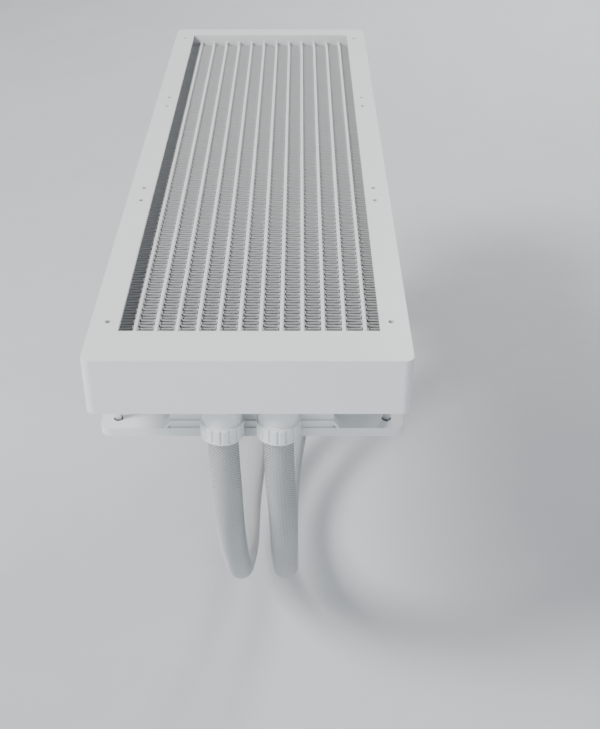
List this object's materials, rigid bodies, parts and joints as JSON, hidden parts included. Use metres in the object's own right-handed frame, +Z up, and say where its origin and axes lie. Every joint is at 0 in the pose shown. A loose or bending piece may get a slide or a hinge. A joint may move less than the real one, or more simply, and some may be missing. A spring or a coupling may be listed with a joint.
{
  "type": "liquid cooling radiator",
  "caption": "White all-in-one liquid cooler: a flat radiator with fans below it, ribbed hose collars, two braided hoses and a round pump head.",
  "frame": {"origin": "centre of the radiator's top mounting face, which is the centre of the middle fan's screw pattern", "axes": "+Z up out of the mounting face, +Y along the radiator from the hose end to the far end, +X towards the processor side"},
  "size_m": [0.144, 0.468, 0.242],
  "materials": {
    "white_paint": "satin powder coat",
    "fin_aluminium": "thin satin paint on folded fins",
    "steel": "zinc plated",
    "fitting_metal": "turned",
    "collar_plastic": "fine moulded grain",
    "braided_sleeve": "white polymer braid over a rubber hose",
    "fan_plastic": "fine moulded grain",
    "blade_plastic": "milky translucent",
    "magnet": "matt",
    "bronze": "sintered",
    "copper_winding": "enamelled wire",
    "circuit_board": "solder mask",
    "pump_plastic": "fine moulded grain",
    "cap_glass": "smoked, glossy",
    "copper": "fine milled copper",
    "gasket_rubber": "matt",
    "impeller_plastic": "matt",
    "bracket_steel": "satin",
    "spring_steel": "bright wire"
  },
  "bodies": {
    "cooler": {"front_tank": "white_paint", "tank_divider": "white_paint", "rear_tank": "white_paint", "front_header": "white_paint", "rear_header": "white_paint", "left_rail": "white_paint", "right_rail": "white_paint", "flat_tubes": "white_paint", "fin_rows": "fin_aluminium", "fill_plug": "steel", "barb_left": "fitting_metal", "barb_right": "fitting_metal", "sleeve_left": "collar_plastic", "sleeve_right": "collar_plastic", "ring_left": "collar_plastic", "ring_right": "collar_plastic", "tube_left": "braided_sleeve", "tube_right": "braided_sleeve", "front_fan_frame": "fan_plastic", "front_fan_bearing": "bronze", "front_fan_stator": "copper_winding", "front_fan_board": "circuit_board", "middle_fan_frame": "fan_plastic", "middle_fan_bearing": "bronze", "middle_fan_stator": "copper_winding", "middle_fan_board": "circuit_board", "rear_fan_frame": "fan_plastic", "rear_fan_bearing": "bronze", "rear_fan_stator": "copper_winding", "rear_fan_board": "circuit_board", "fan_screws": "steel", "pump_housing": "pump_plastic", "pump_cap": "pump_plastic", "cap_face": "cap_glass", "cold_plate": "copper", "plate_gasket": "gasket_rubber", "plate_screws": "steel", "impeller_pin": "steel", "pump_stator": "copper_winding", "pump_board": "circuit_board", "cpu_bracket": "bracket_steel", "cpu_screws": "steel", "cpu_springs": "spring_steel", "pump_barb_upper": "fitting_metal", "pump_barb_lower": "fitting_metal", "pump_sleeve_upper": "collar_plastic", "pump_sleeve_lower": "collar_plastic", "pump_ring_upper": "collar_plastic", "pump_ring_lower": "collar_plastic"},
    "front_fan_spinner": {"front_fan_rotor": "blade_plastic", "front_fan_shaft": "steel", "front_fan_magnet": "magnet"},
    "middle_fan_spinner": {"middle_fan_rotor": "blade_plastic", "middle_fan_shaft": "steel", "middle_fan_magnet": "magnet"},
    "rear_fan_spinner": {"rear_fan_rotor": "blade_plastic", "rear_fan_shaft": "steel", "rear_fan_magnet": "magnet"},
    "impeller_body": {"impeller": "impeller_plastic"}
  },
  "joints": [
    {"name": "front_fan_spin", "type": "hinge", "parent": "cooler", "child": "front_fan_spinner", "pos_m": [0, -0.14, -0.042], "axis": [0, 0, 1], "continuous": true},
    {"name": "middle_fan_spin", "type": "hinge", "parent": "cooler", "child": "middle_fan_spinner", "pos_m": [0, 0, -0.042], "axis": [0, 0, 1], "continuous": true},
    {"name": "rear_fan_spin", "type": "hinge", "parent": "cooler", "child": "rear_fan_spinner", "pos_m": [0, 0.14, -0.042], "axis": [0, 0, 1], "continuous": true},
    {"name": "impeller_spin", "type": "hinge", "parent": "cooler", "child": "impeller_body", "pos_m": [0.045, 0.19, -0.16], "axis": [1, 0, 0], "continuous": true}
  ]
}
